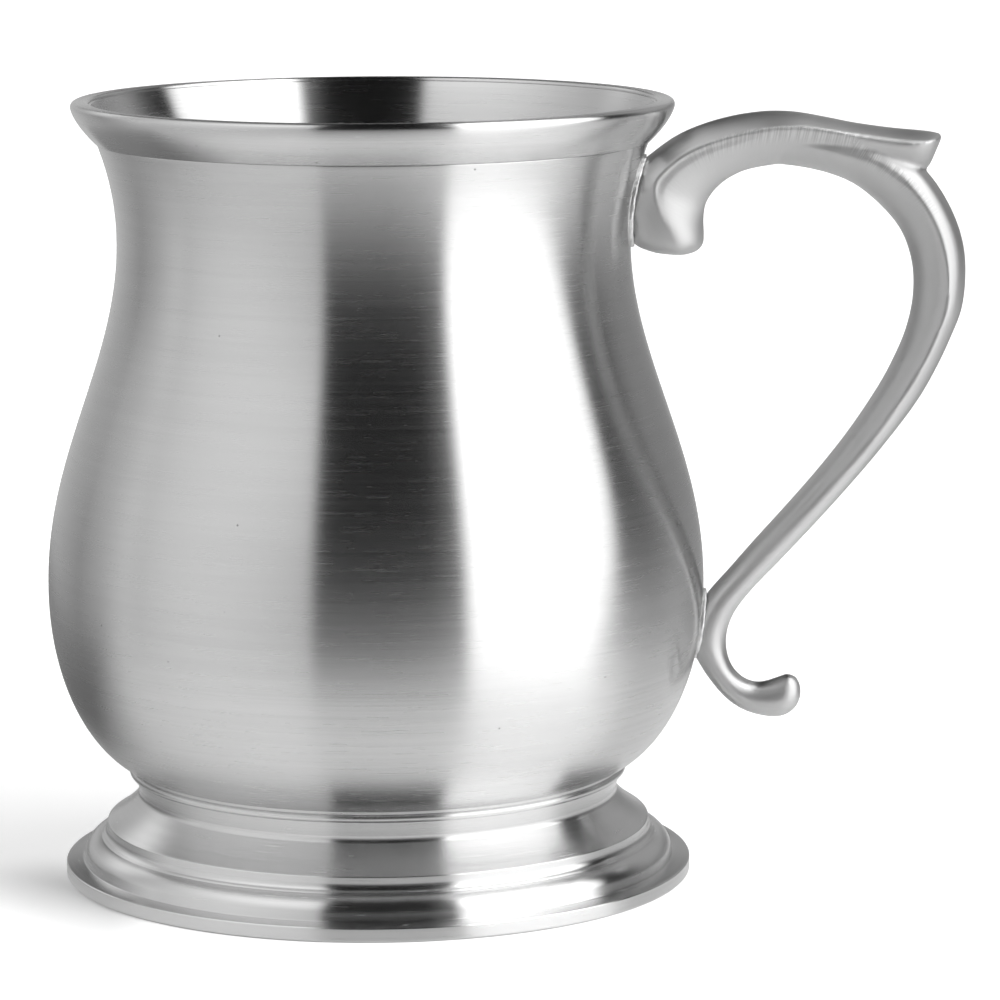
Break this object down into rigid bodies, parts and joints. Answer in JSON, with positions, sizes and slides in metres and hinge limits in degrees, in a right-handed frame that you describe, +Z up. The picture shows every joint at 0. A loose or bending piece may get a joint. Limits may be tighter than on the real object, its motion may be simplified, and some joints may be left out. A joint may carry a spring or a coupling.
{
  "type": "tankard",
  "caption": "Bell-shaped metal tankard on a moulded foot, with a lip band and a cast scroll handle with a thumb rest.",
  "frame": {"origin": "middle of the footprint box, on the plane the foot stands on; the turned axis of body and foot is at x = -0.01867", "axes": "+X from the turned axis towards the handle, +Z up through the mouth, +Y across; the handle's spine lies in y = 0"},
  "size_m": [0.1324, 0.0948, 0.1124],
  "materials": {
    "body": "pewter, satin, brushed round the body",
    "lip": "pewter, turned and burnished",
    "foot": "pewter, turned mouldings with fine tool lines",
    "bead": "pewter, burnished",
    "handle": "pewter, cast and hand-brushed across the ridges",
    "solder": "soft solder, slightly lumpy"
  },
  "bodies": {
    "root": {"body": "body", "lip_band": "lip", "foot": "foot", "foot_bead": "bead", "handle": "handle", "upper_solder": "solder", "lower_solder": "solder"}
  },
  "joints": []
}
